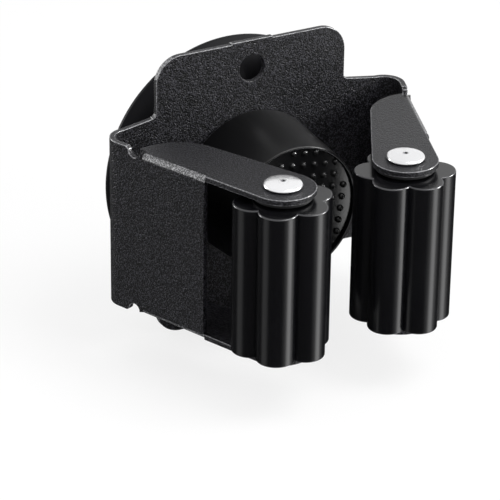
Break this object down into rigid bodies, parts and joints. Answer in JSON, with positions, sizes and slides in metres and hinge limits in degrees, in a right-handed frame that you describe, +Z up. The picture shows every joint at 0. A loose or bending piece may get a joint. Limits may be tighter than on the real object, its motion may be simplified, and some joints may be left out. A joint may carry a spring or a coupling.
{
  "type": "wall mop holder rack",
  "caption": "Folded steel wall bracket on a round suction base, gripping a mop pole between two lobed rubber rollers and a dotted rubber pad on a screw knob.",
  "frame": {"origin": "centre of the round base's wall-side face, on the axis of the base, stud and knob", "axes": "+Z up, the front faces -Y, +Y points into the wall, +X to the right as seen from the front"},
  "size_m": [0.0809, 0.07, 0.0742],
  "materials": {
    "powder_coat": "fine textured black powder coat",
    "cover_plastic": "smooth satin black",
    "knob_plastic": "smooth satin black",
    "core_plastic": "satin black nylon",
    "soft_seal": "soft smooth elastomer",
    "pad_rubber": "glossy moulded rubber",
    "roller_rubber": "smooth glossy black rubber",
    "rivet_steel": "polished nickel plate",
    "zinc_steel": "zinc plated"
  },
  "bodies": {
    "holder": {"bracket": "powder_coat", "base_cover": "cover_plastic", "suction_pad": "soft_seal", "stud": "zinc_steel", "rivet_left": "rivet_steel", "rivet_right": "rivet_steel", "washer_left": "core_plastic", "washer_right": "core_plastic"},
    "knob": {"knob": "knob_plastic", "knob_nut": "zinc_steel", "grip_pad": "pad_rubber"},
    "left_roller": {"core_left": "core_plastic", "roller_left": "roller_rubber"},
    "right_roller": {"core_right": "core_plastic", "roller_right": "roller_rubber"}
  },
  "joints": [
    {"name": "left_roller_spin", "type": "hinge", "parent": "holder", "child": "left_roller", "pos_m": [-0.0165, -0.058, 0], "axis": [0, 0, 1], "continuous": true},
    {"name": "right_roller_spin", "type": "hinge", "parent": "holder", "child": "right_roller", "pos_m": [0.0165, -0.058, 0], "axis": [0, 0, 1], "continuous": true},
    {"name": "knob_turn", "type": "hinge", "parent": "holder", "child": "knob", "pos_m": [0, -0.025, 0], "axis": [0, -1, 0], "range_deg": [0, 360]}
  ]
}
